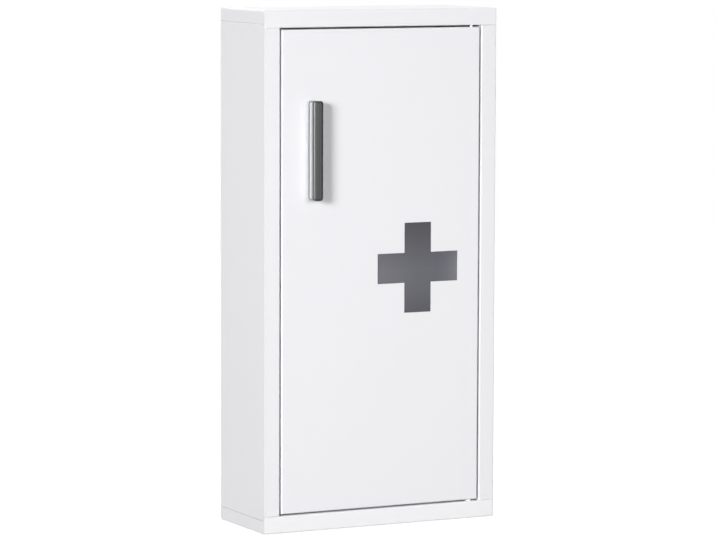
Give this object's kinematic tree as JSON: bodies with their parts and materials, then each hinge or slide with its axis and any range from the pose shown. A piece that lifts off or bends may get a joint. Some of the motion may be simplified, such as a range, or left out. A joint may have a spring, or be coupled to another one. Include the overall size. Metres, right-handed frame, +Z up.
{
  "type": "wall medicine cabinet",
  "caption": "White sheet-steel wall cabinet with a flush door on pivot pins, a bar handle, a cross-shaped frosted window and adjustable shelves.",
  "frame": {"origin": "on the wall plane, in the middle of the four wall holes in the back", "axes": "+Z up, +Y into the wall, +X to the right seen from the front; the door faces -Y"},
  "size_m": [0.3, 0.135, 0.6],
  "materials": {
    "shell_coat": "white powder coat, satin",
    "door_coat": "white powder coat, satin",
    "shelf_coat": "white powder coat, satin",
    "zinc_steel": "bright zinc plate",
    "pin_steel": "ground steel",
    "handle_metal": "satin dark chrome",
    "frosted_glass": "frosted grey glass",
    "bush_nylon": "natural nylon",
    "catch_plastic": "moulded white plastic",
    "magnet_ferrite": "pressed ferrite",
    "bumper_rubber": "soft light grey rubber"
  },
  "bodies": {
    "cabinet": {"top_cap": "shell_coat", "bottom_cap": "shell_coat", "side_panel_left": "shell_coat", "side_panel_right": "shell_coat", "back_panel": "shell_coat", "shelf_standard_left_front": "shelf_coat", "shelf_standard_left_rear": "shelf_coat", "shelf_standard_right_front": "shelf_coat", "shelf_standard_right_rear": "shelf_coat", "upper_shelf": "shelf_coat", "lower_shelf": "shelf_coat", "upper_shelf_clips": "zinc_steel", "lower_shelf_clips": "zinc_steel", "upper_hinge_bush": "bush_nylon", "lower_hinge_bush": "bush_nylon", "catch_housing": "catch_plastic", "catch_magnet": "magnet_ferrite", "catch_pole_plates": "zinc_steel", "catch_screws": "zinc_steel", "door_bumpers": "bumper_rubber"},
    "door": {"door_pan": "door_coat", "cross_pane": "frosted_glass", "pane_clamps": "zinc_steel", "door_handle": "handle_metal", "handle_screws": "zinc_steel", "upper_hinge_bracket": "zinc_steel", "lower_hinge_bracket": "zinc_steel", "upper_hinge_pin": "pin_steel", "lower_hinge_pin": "pin_steel"}
  },
  "joints": [
    {"name": "door_hinge", "type": "hinge", "parent": "cabinet", "child": "door", "pos_m": [0.119, -0.1145, 0], "axis": [0, 0, 1], "range_deg": [0, 120]}
  ]
}
